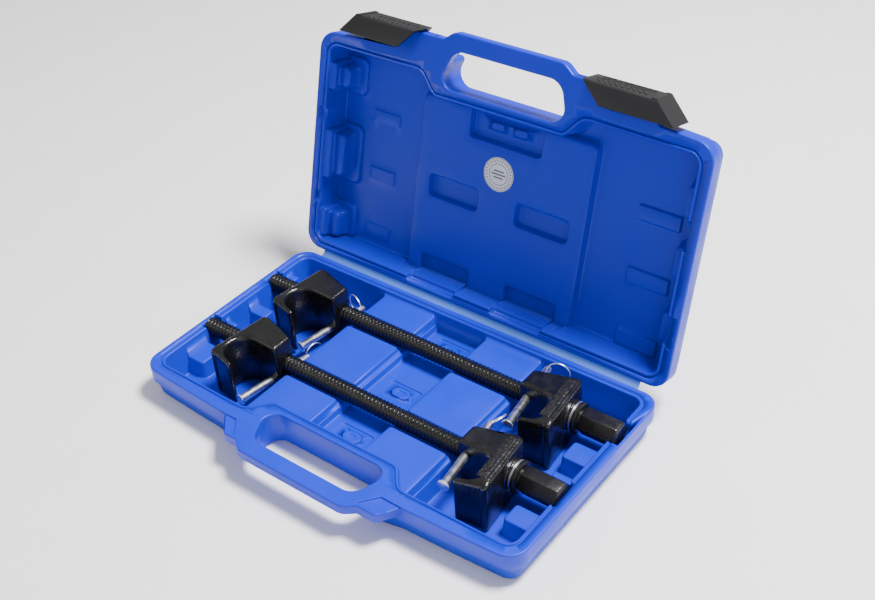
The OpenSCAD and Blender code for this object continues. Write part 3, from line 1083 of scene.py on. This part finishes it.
def jaw(key, fixed):
    t = TOOLS[key]
    node = f"{key}_{'fixed' if fixed else 'moving'}_jaw"
    edge_x, side, half = jaw_frame(key, fixed)
    b = Builder()
    thin = np.clip((JAW[:, 1] + 41.0) / 6.0, 0.42, 1.0)  # the bevels narrow on the hook
    # (distance in, height) of the rounded edge
    levels = [(2.9, half), (2.05, half - 0.22), (1.15, half - 0.85), (0.4, half - 2.0), (0, half - 3.4)]
    levels += [(o, -z) for o, z in levels[::-1]]
    unit = inset(JAW, 1.0) - JAW
    rings = []
    for o, z in levels:
        r = JAW + unit * (o * thin)[:, None]
        rings.append(np.column_stack([r, np.sign(z) * (abs(z) - lift(r[:, 1]))]))

    def place(v):
        return np.column_stack([edge_x + side * v[:, 0], t["y"] + v[:, 1], t["z"] + v[:, 2]])

    b.add(place(np.concatenate(rings)), strip(len(rings), len(JAW)), 0)
    for ring in (rings[0], rings[-1]):
        P, tris = fill(ring[:, :2], 3.0)
        z = np.sign(ring[0, 2]) * (half - lift(P[:, 1]))
        b.add(place(np.column_stack([P, z])), tris, 0)
    if fixed:
        # the boss that the washer bears on
        x = mm_box(key + "_thrust_washer")[0][0] - 0.1
        boss = [(x - 9, 15.5), (x - 5, 14.6), (x - 1.0, 13.4), (x - 0.3, 12.8), (x, 12.2), (x, 8.2)]
        lathe(b, boss, (0, t["y"], t["z"]), 56)
    piece(b, node + "_body", [M_PAINT], 38, key + ("_tool" if fixed else "_slider"), [node])
    if fixed:
        cast_strip(key, node, place, half)


STRIP_U0, STRIP_W = 6.5, 9.0
STRIP_Y0, STRIP_LEN = -37, 50


def cast_strip(key, node, place, half):
    """The rough-cast strip on the fixed jaw's bar, along its slanted edge."""
    rng = np.random.default_rng(7)
    nu, nv = 14, 60
    v = []
    for i in range(nu):
        for j in range(nv):
            y = STRIP_Y0 + STRIP_LEN * j / (nv - 1)
            slant = (y + 49.5) / 67.5 * 7 * 0.9 - 2
            u = STRIP_U0 + STRIP_W * i / (nu - 1) + slant
            inside = min(i, nu - 1 - i, j, nv - 1 - j) > 0
            h = half + (0.35 + rng.random() * 0.45 if inside else -0.3) - lift(y)
            v.append((u, y, h))
    faces = [
        (i * nv + j, (i + 1) * nv + j, (i + 1) * nv + j + 1, i * nv + j + 1)
        for i in range(nu - 1)
        for j in range(nv - 1)
    ]
    b = Builder()
    b.add(place(np.array(v)), faces, 0)
    piece(b, node + "_cast_strip", [M_CAST], 60, key + "_tool", ())


PIN_U = 43.5  # where a pin crosses the spindle's line, in the jaw's u
HEAD, TAIL = -52.0, 27.0  # a pin's ends along its own axis
PIN_AXIS = JOINTS["front_pin_moving_slide"]["axis"]
TILT = math.atan2(abs(PIN_AXIS[0]), PIN_AXIS[1])
PIN_HEAD = [(0, 0.1), (0, 4.4), (0.4, 5.2), (0.9, 5.45), (1.5, 5.3), (1.9, 4.6), (2.2, 3.7), (2.8, 3.45)]
PIN_TAIL = [(-1.2, 3.45), (-0.5, 3.1), (0, 2.2), (0, 0.1)]


def pin(key, fixed):
    t = TOOLS[key]
    name = "fixed" if fixed else "moving"
    edge_x, side, _ = jaw_frame(key, fixed)
    axis = np.array([side * math.sin(TILT), math.cos(TILT), 0])
    turn = np.column_stack([axis, np.cross([0, 0, 1.0], axis), [0, 0, 1.0]])
    lo, hi = mm_box(f"{key}_pin_{name}")
    foot = np.array([edge_x + side * PIN_U, t["y"], (lo[2] + hi[2]) / 2])
    profile = [(HEAD + x, r) for x, r in PIN_HEAD] + [(TAIL + x, r) for x, r in PIN_TAIL]
    b = Builder()
    lathe(b, profile, foot, 40, 0, turn)
    body = f"{key}_pin_{'a' if fixed else 'b'}"
    piece(b, f"{key}_pin_{name}_body", [M_ZINC], 35, body, [f"{key}_pin_{name}"])


RING_R = 10.0
WIRE = 0.52  # half the wire's thickness
RING_TURNS = 2
RING_RISE = 0.95  # along the ring's axis, over all its turns


def split_ring(key, fixed):
    """Two close turns of wire, on the plane of the CAD ring."""
    name = "fixed" if fixed else "moving"
    node = f"{key}_split_ring_{name}"
    v = np.array([p.co[:] for p in frame["nodes"][node].data.vertices]) / MM
    _, _, (e1, e2, normal) = np.linalg.svd(v - v.mean(0), full_matrices=False)
    mid = (v.max(0) + v.min(0)) / 2
    per_turn, around = 44, 10
    total = RING_TURNS * per_turn
    ang = np.linspace(0, 2 * np.pi, around, endpoint=False)
    rings = []
    for i in range(total + 1):
        a = 2 * np.pi * i / per_turn
        out = math.cos(a) * e1 + math.sin(a) * e2
        centre = mid + RING_R * out + normal * (-0.5 + i / total) * RING_RISE
        rings.append([centre + WIRE * (1.1 * math.cos(p) * out + math.sin(p) * normal) for p in ang])
    rings = np.array(rings)
    b = Builder()
    b.add(rings.reshape(-1, 3), strip(total + 1, around), 0)
    for end in (rings[0], rings[-1]):
        b.add(end, [tuple(range(around))], 0)
    piece(b, node + "_wire", [M_ZINC], 40, f"{key}_ring_{'a' if fixed else 'b'}", [node])


for key in ("front", "rear"):
    screw(key)
    for fixed in (True, False):
        jaw(key, fixed)
        pin(key, fixed)
        split_ring(key, fixed)


# ---- floor, light and camera -------------------------------------------------


def floor():
    me = bpy.data.meshes.new("floor")
    s, z = 6.0, -0.0003
    me.from_pydata([(-s, -s, z), (s, -s, z), (s, s, z), (-s, s, z)], [], [(0, 1, 2, 3)])
    me.materials.append(material("floor_white", (0.93, 0.93, 0.93), 0.6, mottle=0.01))
    ob = bpy.data.objects.new("floor", me)
    bpy.context.scene.collection.objects.link(ob)
    ob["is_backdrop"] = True


def area(name, loc, target, size, power):
    """A square white lamp at loc (metres), aimed at target."""
    lamp = bpy.data.lights.new(name, "AREA")
    lamp.energy = power
    lamp.size = size
    ob = bpy.data.objects.new(name, lamp)
    ob.location = loc
    ob.rotation_euler = (Vector(target) - Vector(loc)).to_track_quat("-Z", "Y").to_euler()
    bpy.context.scene.collection.objects.link(ob)


floor()
area("key", (0.65, 0.5, 1.95), (0, -0.05, 0.03), 0.5, 114)
area("fill", (-1.6, -1.4, 1.5), (0, 0.05, 0.1), 1.4, 7)
area("front", (1.5, -1.3, 1.2), (0, 0.1, 0.12), 0.6, 8)
world = bpy.data.worlds.new("studio")
world.use_nodes = True
sky = world.node_tree.nodes["Background"].inputs
sky["Color"].default_value = (1, 1, 1, 1)
sky["Strength"].default_value = 0.44
bpy.context.scene.world = world

# the camera looks at AIM (mm) from DISTANCE (m) away; azimuth, elevation and roll are in degrees
AIM = (-37.1, 108.8, 33.0)
DISTANCE = 1.1362
AZIMUTH, ELEVATION, ROLL = 39.47, 37.07, -3.61
LENS, SENSOR = 50.48, 36.0


def camera():
    az, el, roll = math.radians(AZIMUTH), math.radians(ELEVATION), math.radians(ROLL)
    back = Vector((math.sin(az) * math.cos(el), -math.cos(az) * math.cos(el), math.sin(el)))
    level = Vector((math.cos(az), math.sin(az), 0))
    upright = level.cross(-back)
    c, s = math.cos(roll), math.sin(roll)
    right, up = c * level + s * upright, -s * level + c * upright
    pos = Vector(AIM) * MM + back * DISTANCE
    cam = bpy.data.cameras.new("camera")
    cam.lens = LENS
    cam.sensor_width = SENSOR
    ob = bpy.data.objects.new("camera", cam)
    ob.matrix_world = Matrix([(right[j], up[j], back[j], pos[j]) for j in range(3)] + [(0, 0, 0, 1)])
    bpy.context.scene.collection.objects.link(ob)
    bpy.context.scene.camera = ob


camera()


def visual_box():
    """The box of everything visible, in metres."""
    bpy.context.view_layer.update()
    dg = bpy.context.evaluated_depsgraph_get()
    lo, hi = np.full(3, 1e9), np.full(3, -1e9)
    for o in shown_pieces():
        ev = o.evaluated_get(dg)
        me = ev.to_mesh()
        if not len(me.vertices):
            continue
        co = np.empty(len(me.vertices) * 3)
        me.vertices.foreach_get("co", co)
        mw = np.array(ev.matrix_world)
        w = co.reshape(-1, 3) @ mw[:3, :3].T + mw[:3, 3]
        lo, hi = np.minimum(lo, w.min(0)), np.maximum(hi, w.max(0))
        ev.to_mesh_clear()
    return lo.tolist(), hi.tolist()


{"cad": [list(CAD_LOW), list(CAD_HIGH)], "visual": visual_box()}
